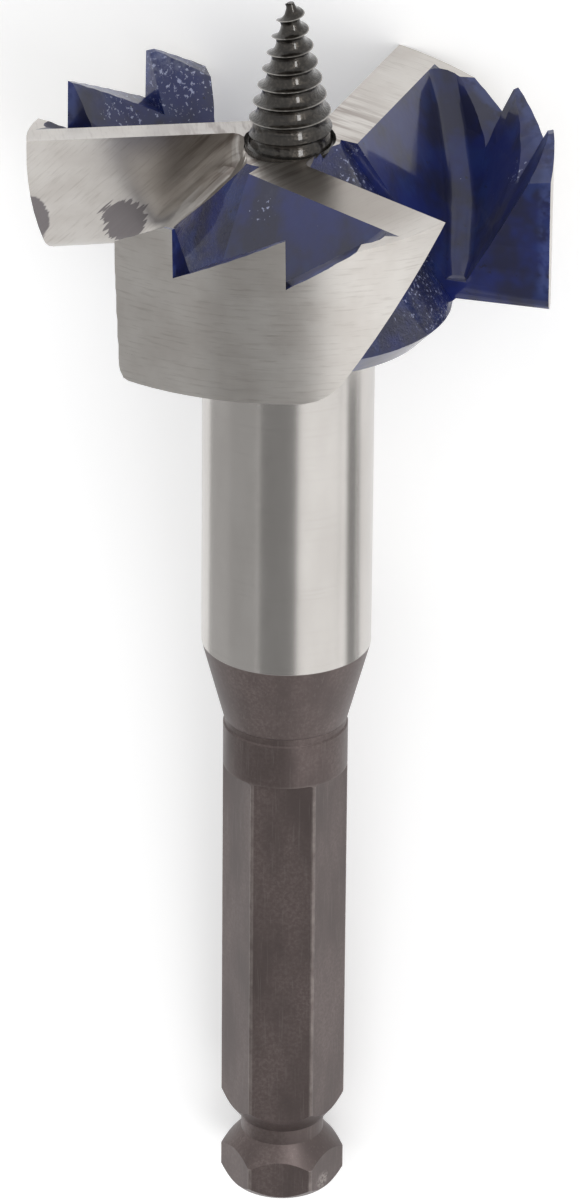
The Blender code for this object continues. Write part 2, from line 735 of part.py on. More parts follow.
def lay_down(objects):
    """Parents the pieces to an empty that holds the resting pose, over the origin."""
    points = hull_points(objects)
    turn = rest_turn(points)
    placed = [turn @ point for point in points]
    low = Vector(min(point[axis] for point in placed) for axis in range(3))
    high = Vector(max(point[axis] for point in placed) for axis in range(3))
    rest = bpy.data.objects.new("resting_bit", None)
    parts.objects.link(rest)
    for obj in list(objects) + list(cutters.all_objects):
        obj.parent = rest
    shift = Vector((-(low.x + high.x) / 2, -(low.y + high.y) / 2, -low.z))
    rest.matrix_world = Matrix.Translation(shift) @ turn.to_4x4()


clear_scene()
parts = new_collection("self_feed_bit")
cutters = new_collection("cutters")
pieces = [make_cutter_body(), make_feed_screw(), make_set_screw()]
lay_down(pieces)
for piece in pieces:
    piece.data.shade_smooth()
    piece.data.set_sharp_from_angle(angle=math.radians(30))
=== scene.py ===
"""A self-feed wood bit dressed for its photograph: a forged three-winged cutter on a hexagonal
shank, its screw-in lead point and its grub screw, lying on their back on a white table."""

import math

import bpy
from mathutils import Euler, Matrix, Vector


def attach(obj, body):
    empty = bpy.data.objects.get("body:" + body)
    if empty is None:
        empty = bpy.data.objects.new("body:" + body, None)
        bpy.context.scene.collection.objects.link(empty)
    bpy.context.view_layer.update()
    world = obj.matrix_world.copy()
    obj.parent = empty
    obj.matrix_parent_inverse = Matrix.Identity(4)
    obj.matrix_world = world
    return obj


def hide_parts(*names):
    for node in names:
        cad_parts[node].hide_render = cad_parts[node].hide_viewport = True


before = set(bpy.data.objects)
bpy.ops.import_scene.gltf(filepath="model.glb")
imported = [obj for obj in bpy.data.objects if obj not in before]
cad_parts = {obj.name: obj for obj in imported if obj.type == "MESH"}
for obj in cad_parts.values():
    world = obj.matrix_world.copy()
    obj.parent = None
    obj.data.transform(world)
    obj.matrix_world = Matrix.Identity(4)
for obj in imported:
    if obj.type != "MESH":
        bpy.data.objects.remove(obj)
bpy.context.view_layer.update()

scene = bpy.context.scene

# Camera. A long lens, 0.8 m off, looks down on the cutting end, with the bit's axis nearly straight
# up the picture. The bit is described upright, in millimetres, with its driven end at the origin and
# its axis on Z; the resting turn and place lay it on its back.
MM = 0.001
REST_TURN = Euler([math.radians(turn) for turn in (-80.62497, 9.390752, 1.543123)], "XYZ")
REST_PLACE = Vector((0.0, -0.0645437, 0.0056634))
CAMERA_DISTANCE = 692.3
CAMERA_HEIGHT = 411.3
CAMERA_PITCH = math.radians(26.45)
CAMERA_YAW = math.radians(-0.033)
CAMERA_ROLL = math.radians(0.5)
FOCAL_LENGTH_IN_PIXELS = 7671.9
PICTURE_HEIGHT_IN_PIXELS = 1200
SENSOR_HEIGHT = 36.0

upright_to_rest = Matrix.LocRotScale(REST_PLACE, REST_TURN, (MM, MM, MM))
rest_turn = REST_TURN.to_matrix()

lens = bpy.data.cameras.new("camera")
lens.sensor_fit = "VERTICAL"
lens.sensor_height = SENSOR_HEIGHT
lens.lens = FOCAL_LENGTH_IN_PIXELS / PICTURE_HEIGHT_IN_PIXELS * SENSOR_HEIGHT
lens.clip_start = 0.01
lens.clip_end = 10.0
camera = bpy.data.objects.new("camera", lens)
scene.collection.objects.link(camera)
scene.camera = camera
aim = Matrix.Rotation(CAMERA_YAW, 3, "Z") @ Matrix.Rotation(math.pi / 2 - CAMERA_PITCH, 3, "X")
aim = rest_turn @ aim @ Matrix.Rotation(CAMERA_ROLL, 3, "Z")
camera_place = upright_to_rest @ Vector((0, -CAMERA_DISTANCE, CAMERA_HEIGHT))
camera.matrix_world = Matrix.LocRotScale(camera_place, aim.to_quaternion(), None)


# Cutter head and shank. One forging of tool steel: the head is milled and ground bright where it
# cuts, lacquered blue in its pockets, and the hexagonal shank is left in its dark oxide.
HEAD_RADIUS = 25.85
LIP_TOP = 117.75
WING_FOOT = 100.65
BODY_RADIUS = 8.6
BODY_FOOT = 62.7
BODY_TOP = 96.95
DARK_BAND_FOOT = 95.4
HEX_TOP = 48.7
BAR_RADIUS = 6.35
BORE_RADIUS = 4.55
GRUB_HEIGHT = 91.85
GRUB_HOLE_RADIUS = 2.85
LIP_ANGLES = [math.radians(angle) for angle in (-54.9, 65.1, 185.1)]
LIP_RELIEF = math.tan(math.radians(8.7))
LIP_SKEW = math.tan(math.radians(4.0))
LIP_FALLS = [math.tan(math.radians(fall)) for fall in (2.4, 0.0, 1.1)]
LIP_THICKNESS = 4.1
RAKE_SLOPE = math.tan(math.radians(34.0))
BACK_SLOPE = math.tan(math.radians(30.5))
HUB_TIP_RADIUS = 4.7
HUB_SLOPE = math.tan(math.radians(33.5))
WEB_EDGE_TOP_ANGLE = 44.0
WEB_EDGE_FOOT_ANGLE = -8.6
WEB_EDGE_DROP = 10.2
COVE_CORE_RADIUS = 4.8
COVE_CORE_DROP = 5.2
COVE_CORE_SLOPE = math.tan(math.radians(42.0))
COVE_BENDS = (0.9, 2.6)
COVE_BEND_DROP = 6.0
COVE_SPAN = -60.0
FRONT_COVE_LACQUER_ANGLE = -8.0
GRIND_SLOPE = math.radians(53)
SHARP_ANGLE = math.radians(24)
LACQUERED_SHARP_ANGLE = math.radians(41)
TURNED_FACET = math.radians(5.7)
GROUND, LACQUER, CAST, SHANK, BORE = range(5)

# How near a face's place and normal come to a surface of the head to count as part of it, and the
# steps of the map that the grinding lines follow.
SAME_PLANE = 0.9998
SAME_CONE = 0.97
FACING_OUT = 0.9
FACING_IN = -0.3
FACING_UP = 0.9
RAKE_FACING = 0.5
RAKE_FOOT_FACING = 0.35
RAKE_FOOT_RISE = 2.2
RAKE_FOOT_REACH = 3.0
SURFACE_REACH = 0.3
WEB_EDGE_MARGIN = 0.3
COVE_MARGIN = 1.0
RIM_SKIN = 0.15
RIM_STRIP_WIDTH = 1.3
HUB_TOP_WIDTH = 2.0
BODY_SKIN = 0.1
BODY_TOP_MARGIN = 0.01
WING_FOOT_MARGIN = 0.05
LEAST_SIDEWAYS = 0.15
MERGE_DISTANCE_IN_METRES = 0.000001
LIP_PATTERN_STEP = 40
FLUTE_PATTERN_STEP = 60
RIM_SEAM_GAP = 80
CORNER_SHARE = 0.999


def new_node(tree, kind, **values):
    """A shader node with its sockets or settings filled in by name."""
    made = tree.nodes.new("ShaderNode" + kind)
    for name, value in values.items():
        if name in made.inputs:
            made.inputs[name].default_value = value
        else:
            setattr(made, name, value)
    return made


def math_node(tree, operation, first, second=None, third=None, clamp=False):
    """The output of a Math node, fed by numbers or by other outputs."""
    made = tree.nodes.new("ShaderNodeMath")
    made.operation = operation
    made.use_clamp = clamp
    for socket, value in zip(made.inputs, (first, second, third)):
        if isinstance(value, bpy.types.NodeSocket):
            tree.links.new(value, socket)
        elif value is not None:
            socket.default_value = value
    return made.outputs[0]


def fade(tree, value, start, end):
    """0 at the start and 1 at the end, smoothly between them. The start may be the larger."""
    low, high = min(start, end), max(start, end)
    made = new_node(tree, "MapRange", interpolation_type="SMOOTHSTEP")
    made.inputs["From Min"].default_value = low
    made.inputs["From Max"].default_value = high
    made.inputs["To Min"].default_value = float(start > end)
    made.inputs["To Max"].default_value = float(start < end)
    tree.links.new(value, made.inputs["Value"])
    return made.outputs["Result"]


def blend(tree, factor, first, second):
    """A mix of two colours, given as outputs or as linear red, green and blue."""
    made = tree.nodes.new("ShaderNodeMix")
    made.data_type = "RGBA"
    for name, value in (("Factor", factor), ("A", first), ("B", second)):
        socket = [entry for entry in made.inputs if entry.name == name and entry.enabled][0]
        if isinstance(value, bpy.types.NodeSocket):
            tree.links.new(value, socket)
        else:
            socket.default_value = value if name == "Factor" else (*value, 1.0)
    return [entry for entry in made.outputs if entry.enabled][0]


def noise(tree, vector, scale, detail=2.0, roughness=0.5, stretch=(1.0, 1.0, 1.0), shift=0.0):
    """A noise value over coordinates in millimetres, pulled out along the short axes."""
    pull = new_node(tree, "Mapping", Scale=stretch, Location=(shift, shift, shift))
    tree.links.new(vector, pull.inputs["Vector"])
    made = new_node(tree, "TexNoise", Scale=scale, Detail=detail, Roughness=roughness)
    tree.links.new(pull.outputs["Vector"], made.inputs["Vector"])
    return made.outputs["Fac"]


def new_group(name, inputs, outputs):
    """An empty shader group with its inputs and outputs, given as (name, socket kind, value)."""
    group = bpy.data.node_groups.new(name, "ShaderNodeTree")
    for direction, sockets in (("INPUT", inputs), ("OUTPUT", outputs)):
        for label, kind, value in sockets:
            socket = group.interface.new_socket(
                name=label, in_out=direction, socket_type="NodeSocket" + kind
            )
            if value is not None:
                socket.default_value = value
    return group, group.nodes.new("NodeGroupInput"), group.nodes.new("NodeGroupOutput")


def make_upright_group():
    """Where a point is on the bit: its place in millimetres with the axis on Z, its distance
    from the axis and its height over the driven end."""
    outputs = [("Place", "Vector", None), ("Radius", "Float", None), ("Height", "Float", None)]
    group, _, out = new_group("place on the upright bit", [], outputs)
    coordinates = group.nodes.new("ShaderNodeTexCoord")
    lay = new_node(group, "Mapping", vector_type="TEXTURE", Location=REST_PLACE)
    lay.inputs["Rotation"].default_value = REST_TURN
    lay.inputs["Scale"].default_value = (MM, MM, MM)
    group.links.new(coordinates.outputs["Object"], lay.inputs["Vector"])
    parts = group.nodes.new("ShaderNodeSeparateXYZ")
    group.links.new(lay.outputs["Vector"], parts.inputs[0])
    across = math_node(group, "MULTIPLY", parts.outputs["X"], parts.outputs["X"])
    across = math_node(group, "MULTIPLY_ADD", parts.outputs["Y"], parts.outputs["Y"], across)
    group.links.new(lay.outputs["Vector"], out.inputs["Place"])
    group.links.new(math_node(group, "SQRT", across), out.inputs["Radius"])
    group.links.new(parts.outputs["Z"], out.inputs["Height"])
    return group


def make_grinding_group():
    """Grinding lines that run along U of the map in which the piece carries its grinding
    direction in millimetres: a height for bump, and a mask of the deeper, darker lines."""
    inputs = [("Vector", "Vector", None)]
    outputs = [("Height", "Float", None), ("Streaks", "Float", None)]
    group, given, out = new_group("grinding lines", inputs, outputs)
    flat = given.outputs["Vector"]
    fine = noise(group, flat, 1.0, 3.0, 0.6, (0.22, 7.0, 1.0))
    wide = noise(group, flat, 1.0, 2.0, 0.5, (0.08, 1.6, 1.0), 7.0)
    broken = noise(group, flat, 1.0, 3.0, 0.6, (0.3, 3.4, 1.0), 19.0)
    height = math_node(group, "MULTIPLY_ADD", wide, 0.5, fine)
    group.links.new(height, out.inputs["Height"])
    group.links.new(fade(group, broken, 0.5, 0.72), out.inputs["Streaks"])
    return group


upright_group = make_upright_group()
grinding_group = make_grinding_group()


def new_material(name, metallic, specular=0.5):
    """A material and its Principled shader, with the upright place already beside it."""
    made = bpy.data.materials.new(name)
    made.use_nodes = True
    tree = made.node_tree
    shader = tree.nodes["Principled BSDF"]
    shader.inputs["Metallic"].default_value = metallic
    shader.inputs["Specular IOR Level"].default_value = specular
    place = new_node(tree, "Group", node_tree=upright_group)
    return made, tree, shader, place


def add_bump(tree, shader, height, strength, distance_in_mm):
    """Ripples the shader's normal with a height value."""
    made = new_node(tree, "Bump", Strength=strength, Distance=distance_in_mm * MM)
    tree.links.new(height, made.inputs["Height"])
    tree.links.new(made.outputs["Normal"], shader.inputs["Normal"])


def near(tree, spot, middle, reach, turn=(0.0, 0.0, 0.0), ragged=None, raggedness=0.0):
    """A soft-edged oval spot: 1 round its middle and 0 past its reach along each axis. A ragged
    value frays its edge."""
    centre = new_node(tree, "Mapping", vector_type="TEXTURE", Location=middle)
    centre.inputs["Rotation"].default_value = turn
    centre.inputs["Scale"].default_value = reach
    tree.links.new(spot, centre.inputs["Vector"])
    length = new_node(tree, "VectorMath", operation="LENGTH")
    tree.links.new(centre.outputs["Vector"], length.inputs[0])
    distance = length.outputs["Value"]
    if ragged is not None:
        offset = math_node(tree, "SUBTRACT", ragged, 0.5)
        distance = math_node(tree, "MULTIPLY_ADD", offset, raggedness, distance)
        return fade(tree, distance, 1.02, 0.94)
    return fade(tree, distance, 1.0, 0.35)


PALE_STEEL = (0.60, 0.575, 0.545)
WARM_STEEL = (0.53, 0.50, 0.47)
GRIND_LINE_BROWN = (0.27, 0.235, 0.21)
HUB_DARK_BROWN = (0.235, 0.195, 0.175)
# Painted shade: this brown and the spot two lines down darken the front lip in place of its darker
# reflection.
LIP_REFLECTION_SHADE_BROWN = (0.27, 0.24, 0.215)
MISSED_GREY = (0.25, 0.23, 0.235)
LIP_REFLECTION_SHADE_SPOT = ((8.0, -11.4, 116.5), (15.0, 15.0, 3.5))
MISSED_SPOT = ((-16.44, 7.76, 104.98), (2.2, 2.4, 3.9), (0.55, 0.0, 0.0))
MISSED_CRESCENT = ((-26.6, 7.2, 106.8), (2.9, 5.0, 5.8), (0.0, 0.0, 0.0))


def make_ground_steel():
    """Bright steel off the grinding wheel: darker brown streaks along the grinding lines towards the
    hub, a painted shade along the front lip that stands in for its darker reflection, with two grey
    patches on the left blade that the wheel missed."""
    material, tree, shader, place = new_material("ground steel", 1.0)
    spot = place.outputs["Place"]
    lines = new_node(tree, "Group", node_tree=grinding_group)
    grind_map = new_node(tree, "UVMap", uv_map="grind")
    tree.links.new(grind_map.outputs["UV"], lines.inputs["Vector"])
    cloud = noise(tree, spot, 0.22, 3.0, 0.55)
    colour = blend(tree, fade(tree, cloud, 0.3, 0.7), PALE_STEEL, WARM_STEEL)
    streaks = math_node(tree, "MULTIPLY", lines.outputs["Streaks"], 0.28)
    colour = blend(tree, streaks, colour, GRIND_LINE_BROWN)
    # Darker brown streaks along the grinding lines, stronger towards the hub.
    by_hub = fade(tree, place.outputs["Radius"], 15.0, 7.0)
    hub_dark_streaks = noise(tree, grind_map.outputs["UV"], 1.0, 3.0, 0.6, (0.10, 1.1, 1.0), 43.0)
    hub_dark_streaks = math_node(tree, "MULTIPLY", fade(tree, hub_dark_streaks, 0.42, 0.62), by_hub)
    colour = blend(tree, math_node(tree, "MULTIPLY", hub_dark_streaks, 0.75), colour, HUB_DARK_BROWN)
    spikes = noise(tree, grind_map.outputs["UV"], 1.0, 2.0, 0.5, (0.22, 2.1, 1.0), 11.0)
    # Painted shade: a brown spot over the front lip that stands in for the darker reflection it
    # catches.
    dull = near(tree, spot, *LIP_REFLECTION_SHADE_SPOT)
    colour = blend(tree, math_node(tree, "MULTIPLY", dull, 0.7), colour, LIP_REFLECTION_SHADE_BROWN)
    missed = near(tree, spot, *MISSED_SPOT, ragged=spikes, raggedness=1.3)
    crescent = near(tree, spot, *MISSED_CRESCENT, ragged=spikes, raggedness=0.25)
    missed = math_node(tree, "MAXIMUM", missed, crescent)
    colour = blend(tree, missed, colour, MISSED_GREY)
    tree.links.new(colour, shader.inputs["Base Color"])
    rough = math_node(tree, "MULTIPLY_ADD", lines.outputs["Height"], 0.12, 0.22)
    rough = math_node(tree, "MULTIPLY_ADD", missed, 0.22, rough)
    tree.links.new(rough, shader.inputs["Roughness"])
    add_bump(tree, shader, lines.outputs["Height"], 0.45, 0.02)
    return material


LACQUER_BLUE = (0.008, 0.0165, 0.125)
LACQUER_POOL = (0.009, 0.011, 0.045)
LACQUER_THIN = (0.012, 0.033, 0.165)
LACQUER_FLECK = (0.006, 0.006, 0.016)
LACQUER_FROST = (0.30, 0.33, 0.45)
# Painted highlight: a lighter blue laid along the rim's outer edge and its teeth.
LACQUER_RIM_HIGHLIGHT = (0.05, 0.075, 0.24)
CHIP_STEEL = (0.34, 0.37, 0.54)
FROST_FOOT = 114.3
FROST_TOP = 117.6


def make_lacquer_group():
    """Blue lacquer: its colour, a mask of the chips that show bright steel, and a height. Chips
    gather where the forging was knocked, which the worn input marks."""
    inputs = [("Vector", "Vector", None), ("Grain", "Float", 1.0), ("Worn", "Float", 0.0)]
    outputs = [("Colour", "Color", None), ("Chips", "Float", None), ("Height", "Float", None)]
    group, given, out = new_group("blue lacquer", inputs, outputs)
    spot = given.outputs["Vector"]
    pools = fade(group, noise(group, spot, 0.16, 3.0, 0.6), 0.38, 0.62)
    thin = fade(group, noise(group, spot, 0.30, 2.0, 0.5, shift=57.0), 0.5, 0.72)
    colour = blend(group, pools, LACQUER_BLUE, LACQUER_POOL)
    colour = blend(group, math_node(group, "MULTIPLY", thin, 0.55), colour, LACQUER_THIN)
    dark = fade(group, noise(group, spot, 1.1, 3.0, 0.6, shift=71.0), 0.66, 0.74)
    colour = blend(group, math_node(group, "MULTIPLY", dark, 0.7), colour, LACQUER_FLECK)
    fine = noise(group, spot, 2.3, 4.0, 0.62, shift=31.0)
    limit = math_node(group, "MULTIPLY_ADD", given.outputs["Worn"], -0.15, 0.735)
    chips = math_node(group, "SUBTRACT", fine, limit)
    chips = math_node(group, "MULTIPLY", chips, 28.0, clamp=True)
    colour = blend(group, math_node(group, "MULTIPLY", chips, 0.85), colour, CHIP_STEEL)
    ripple = noise(group, spot, 0.55, 2.0, 0.5, shift=5.0)
    grain = noise(group, spot, 1.9, 3.0, 0.6)
    height = math_node(group, "MULTIPLY_ADD", grain, given.outputs["Grain"], ripple)
    group.links.new(colour, out.inputs["Colour"])
    group.links.new(chips, out.inputs["Chips"])
    group.links.new(height, out.inputs["Height"])
    return group


lacquer_group = make_lacquer_group()


def make_lacquer(name, worn_spots, grain, strength, depth, frosted):
    """The lacquer over one kind of skin: smooth in the milled pockets, rough over the forging.
    The depth is the bump's, in millimetres; frosted lacquer is scuffed pale along its top."""
    material, tree, shader, place = new_material(name, 0.0, 0.25)
    spot = place.outputs["Place"]
    finish = new_node(tree, "Group", node_tree=lacquer_group)
    finish.inputs["Grain"].default_value = grain
    tree.links.new(spot, finish.inputs["Vector"])
    worn = 0.0
    for middle, reach in worn_spots:
        worn = math_node(tree, "MAXIMUM", worn, near(tree, spot, middle, (reach, reach, reach)))
    tree.links.new(worn, finish.inputs["Worn"])
    colour = finish.outputs["Colour"]
    if frosted:
        high = fade(tree, place.outputs["Height"], FROST_FOOT, FROST_TOP)
        mottle = fade(tree, noise(tree, spot, 1.3, 3.0, 0.6, shift=9.0), 0.3, 0.75)
        veil = math_node(tree, "MULTIPLY", math_node(tree, "MULTIPLY", high, mottle), worn)
        colour = blend(tree, math_node(tree, "MULTIPLY", veil, 0.7), colour, LACQUER_FROST)
    # Painted highlight: broken patches of lighter lacquer over the outer 1.5 mm of the rim and teeth,
    # standing in for light caught by their rounded edges.
    by_rim = fade(tree, place.outputs["Radius"], HEAD_RADIUS - 1.5, HEAD_RADIUS - 0.6)
    over_foot = fade(tree, place.outputs["Height"], WING_FOOT + 1, WING_FOOT + 3)
    broken = fade(tree, noise(tree, spot, 0.8, 2.0, 0.5, shift=3.0), 0.35, 0.6)
    rim_highlight = math_node(tree, "MULTIPLY", math_node(tree, "MULTIPLY", by_rim, over_foot), broken)
    colour = blend(tree, math_node(tree, "MULTIPLY", rim_highlight, 0.6), colour, LACQUER_RIM_HIGHLIGHT)
    tree.links.new(colour, shader.inputs["Base Color"])
    metallic = math_node(tree, "MULTIPLY", finish.outputs["Chips"], 0.6)
    tree.links.new(metallic, shader.inputs["Metallic"])
    shader.inputs["Roughness"].default_value = 0.4
    shader.inputs["Coat Weight"].default_value = 0.7
    shader.inputs["Coat Roughness"].default_value = 0.07
    add_bump(tree, shader, finish.outputs["Height"], strength, depth)
    return material


OXIDE_BROWN = (0.110, 0.084, 0.080)
OXIDE_SPECKLE = (0.155, 0.124, 0.118)
OXIDE_CLOUD = (0.085, 0.066, 0.063)
OXIDE_SCRATCH = (0.19, 0.165, 0.155)
OXIDE_RUBBED = (0.36, 0.32, 0.30)
TURNED_STEEL = (0.60, 0.575, 0.55)
TURNED_STEEL_CLOUD = (0.55, 0.525, 0.50)
TURNING_LINE_BROWN = (0.30, 0.27, 0.25)
SHANK_KNOCK = ((4.6, -3.9, 1.3), (1.5, 1.5, 1.2))


def make_shank_steel():
    """Ground steel on the round body; dark oxide below it and in the band above it, rubbed through
    along the corners of the hexagon and in one knock near the driven end."""
    material, tree, shader, place = new_material("oxide and ground shank", 1.0)
    spot = place.outputs["Place"]
    height = place.outputs["Height"]
    radius = place.outputs["Radius"]
    above = fade(tree, height, BODY_FOOT - 0.05, BODY_FOOT + 0.05)
    below = fade(tree, height, DARK_BAND_FOOT + 0.5, DARK_BAND_FOOT)
    ground = math_node(tree, "MULTIPLY", above, below)
    speckle = noise(tree, spot, 3.0, 4.0, 0.65)
    cloud = noise(tree, spot, 0.18, 3.0, 0.55, (1.0, 1.0, 0.4))
    oxide = blend(tree, fade(tree, speckle, 0.35, 0.75), OXIDE_BROWN, OXIDE_SPECKLE)
    oxide = blend(tree, fade(tree, cloud, 0.35, 0.7), oxide, OXIDE_CLOUD)
    scratches = noise(tree, spot, 1.0, 3.0, 0.6, (5.0, 5.0, 0.22), 13.0)
    scratches = math_node(tree, "MULTIPLY", fade(tree, scratches, 0.56, 0.7), 0.25)
    oxide = blend(tree, scratches, oxide, OXIDE_SCRATCH)
    corner = fade(tree, radius, BAR_RADIUS - 0.10, BAR_RADIUS - 0.02)
    on_hexagon = fade(tree, height, HEX_TOP + 0.3, HEX_TOP - 0.3)
    rubbed = math_node(tree, "MULTIPLY", corner, on_hexagon)
    chipped = math_node(tree, "MULTIPLY_ADD", noise(tree, spot, 0.9, 3.0, 0.6, shift=3.0), 1.2, -0.2)
    rubbed = math_node(tree, "MULTIPLY", rubbed, chipped, clamp=True)
    knock = near(tree, spot, *SHANK_KNOCK)
    knock = math_node(tree, "MULTIPLY", knock, fade(tree, speckle, 0.42, 0.52))
    rubbed = math_node(tree, "MAXIMUM", rubbed, knock)
    rings = noise(tree, spot, 1.0, 2.0, 0.5, (0.05, 0.05, 4.0), 23.0)
    lines = math_node(tree, "MULTIPLY", fade(tree, rings, 0.55, 0.75), 0.05)
    bright = blend(tree, fade(tree, cloud, 0.3, 0.7), TURNED_STEEL, TURNED_STEEL_CLOUD)
    bright = blend(tree, lines, bright, TURNING_LINE_BROWN)
    oxide = blend(tree, math_node(tree, "MULTIPLY", rubbed, 0.65), oxide, OXIDE_RUBBED)
    tree.links.new(blend(tree, ground, oxide, bright), shader.inputs["Base Color"])
    rough = math_node(tree, "MULTIPLY_ADD", ground, -0.20, 0.42)
    tree.links.new(rough, shader.inputs["Roughness"])
    metallic = math_node(tree, "MULTIPLY_ADD", ground, 0.35, 0.65)
    tree.links.new(metallic, shader.inputs["Metallic"])
    turning = noise(tree, spot, 1.0, 3.0, 0.6, (0.15, 0.15, 9.0))
    grain = math_node(tree, "MULTIPLY_ADD", ground, -0.55, 0.6)
    grain = math_node(tree, "MULTIPLY", speckle, grain)
    add_bump(tree, shader, math_node(tree, "MULTIPLY_ADD", turning, 0.6, grain), 0.25, 0.02)
    return material


BORE_DARK = (0.10, 0.095, 0.09)
BORE_PALE = (0.20, 0.19, 0.18)


def make_bore_steel():
    """The drilled bores, dull and dark inside."""
    material, tree, shader, place = new_material("drilled bore", 1.0)
    rings = noise(tree, place.outputs["Place"], 1.0, 2.0, 0.5, (0.3, 0.3, 4.0))
    colour = blend(tree, rings, BORE_DARK, BORE_PALE)
    tree.links.new(colour, shader.inputs["Base Color"])
    shader.inputs["Roughness"].default_value = 0.5
    return material


def in_wing(place, angle):
    """A place seen from a wing: X out along its lip, Y ahead of it, and its height."""
    return Matrix.Rotation(-angle, 3, "Z") @ place


def hub_radius(height):
    """Radius of the hub's cone at a height."""
    return HUB_TIP_RADIUS + (LIP_TOP - height) * HUB_SLOPE


def ahead_of_rake(local):
    """How far a place is in front of a wing's rake face."""
    return local.y + (LIP_TOP - local.z) * RAKE_SLOPE - (local.x - HEAD_RADIUS) * LIP_SKEW


def ahead_of_back(local):
    """How far a place is in front of the back of a wing's blade."""
    set_back = LIP_THICKNESS + (LIP_TOP - local.z) * BACK_SLOPE
    return local.y + set_back - (local.x - HEAD_RADIUS) * LIP_SKEW


def relief_normal(angle, fall):
    """The way a lip's relieved top faces."""
    return Matrix.Rotation(angle, 3, "Z") @ Vector((-fall, -LIP_RELIEF, 1.0)).normalized()


def flute_side(place, normal, angle):
    """Whether a face of the head was ground with this lip: the rake face, the cove at its root
    and the slope up to the hub's edge."""
    local = in_wing(place, angle)
    facing = in_wing(normal, angle).y
    drop = LIP_TOP - local.z
    ahead = ahead_of_rake(local)
    if local.x < 0 or normal.z > FACING_UP:
        return False
    if abs(ahead) < SURFACE_REACH and facing > RAKE_FACING:
        return True
    by_foot = local.z < WING_FOOT + RAKE_FOOT_RISE and abs(ahead) < RAKE_FOOT_REACH
    if by_foot and facing > RAKE_FOOT_FACING:
        return True
    share = min(max(drop, 0.0) / WEB_EDGE_DROP, 1.0)
    edge = WEB_EDGE_TOP_ANGLE + (WEB_EDGE_FOOT_ANGLE - WEB_EDGE_TOP_ANGLE) * share
    behind = math.degrees(math.atan2(local.y, local.x))
    core = COVE_CORE_RADIUS + max(drop - COVE_CORE_DROP, 0.0) * COVE_CORE_SLOPE
    opening = min(max(drop, 0.0) / COVE_BEND_DROP, 1.0)
    bend = COVE_BENDS[0] + (COVE_BENDS[1] - COVE_BENDS[0]) * opening
    reached = local.xy.length < core + 2 * bend + COVE_MARGIN
    if angle == LIP_ANGLES[0]:
        edge = min(edge, FRONT_COVE_LACQUER_ANGLE)
    return ahead > -SURFACE_REACH and COVE_SPAN < behind < edge + WEB_EDGE_MARGIN and reached


def face_kind(place, normal):
    """The finish of a face, from its middle and its normal on the upright bit."""
    radius = place.xy.length
    outwards = normal.xy.dot(place.xy) / max(radius, 0.001)
    to_grub = math.hypot(place.x, place.z - GRUB_HEIGHT)
    if radius < BORE_RADIUS and outwards < FACING_IN:
        return BORE
    in_body = radius < BODY_RADIUS - BODY_SKIN
    if place.y > BORE_RADIUS and to_grub < GRUB_HOLE_RADIUS and in_body:
        return BORE
    if place.z < BODY_TOP + BODY_TOP_MARGIN:
        return SHANK
    if radius > HEAD_RADIUS - RIM_SKIN and outwards > FACING_OUT:
        return GROUND
    if place.z < WING_FOOT + WING_FOOT_MARGIN:
        return LACQUER
    cone = Vector((*(place.xy.normalized()), HUB_SLOPE)).normalized()
    on_hub = abs(radius - hub_radius(place.z)) < SURFACE_REACH
    if on_hub and normal.dot(cone) > SAME_CONE:
        return CAST
    for angle, fall in zip(LIP_ANGLES, LIP_FALLS):
        local = in_wing(place, angle)
        if normal.dot(relief_normal(angle, fall)) > SAME_PLANE:
            by_rim = radius > HEAD_RADIUS - RIM_STRIP_WIDTH
            return GROUND if ahead_of_back(local) > 0 or by_rim else CAST
        if flute_side(place, normal, angle):
            return GROUND
    if on_hub or radius < HUB_TIP_RADIUS + HUB_TOP_WIDTH:
        return CAST
    return LACQUER


def select_faces(piece, chosen):
    """Goes into edit mode with only these faces selected."""
    for vert in piece.data.vertices:
        vert.select = False
    for edge in piece.data.edges:
        edge.select = False
    for face in piece.data.polygons:
        face.select = chosen(face)
    bpy.ops.object.mode_set(mode="EDIT")
    bpy.ops.mesh.select_mode(type="FACE")


def head_piece():
    """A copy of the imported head, merged, upright and in millimetres, with an edge along the back
    of each blade where the ground strip ends on the hub."""
    bpy.ops.object.select_all(action="DESELECT")
    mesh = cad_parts["cutter_body"].data.copy()
    mesh.materials.clear()
    piece = bpy.data.objects.new("cutter_and_shank", mesh)
    scene.collection.objects.link(piece)
    bpy.context.view_layer.objects.active = piece
    piece.select_set(True)
    bpy.ops.object.mode_set(mode="EDIT")
    bpy.ops.mesh.select_all(action="SELECT")
    bpy.ops.mesh.remove_doubles(threshold=MERGE_DISTANCE_IN_METRES)
    bpy.ops.object.mode_set(mode="OBJECT")
    mesh.transform(upright_to_rest.inverted())
    for angle, fall in zip(LIP_ANGLES, LIP_FALLS):
        relief = relief_normal(angle, fall)
        select_faces(piece, lambda face: face.normal.dot(relief) > SAME_PLANE)
        turn = Matrix.Rotation(angle, 3, "Z")
        point = turn @ Vector((HEAD_RADIUS, -LIP_THICKNESS, LIP_TOP))
        across = turn @ Vector((-LIP_SKEW, 1.0, -BACK_SLOPE)).normalized()
        bpy.ops.mesh.bisect(plane_co=point, plane_no=across)
        bpy.ops.object.mode_set(mode="OBJECT")
    return piece


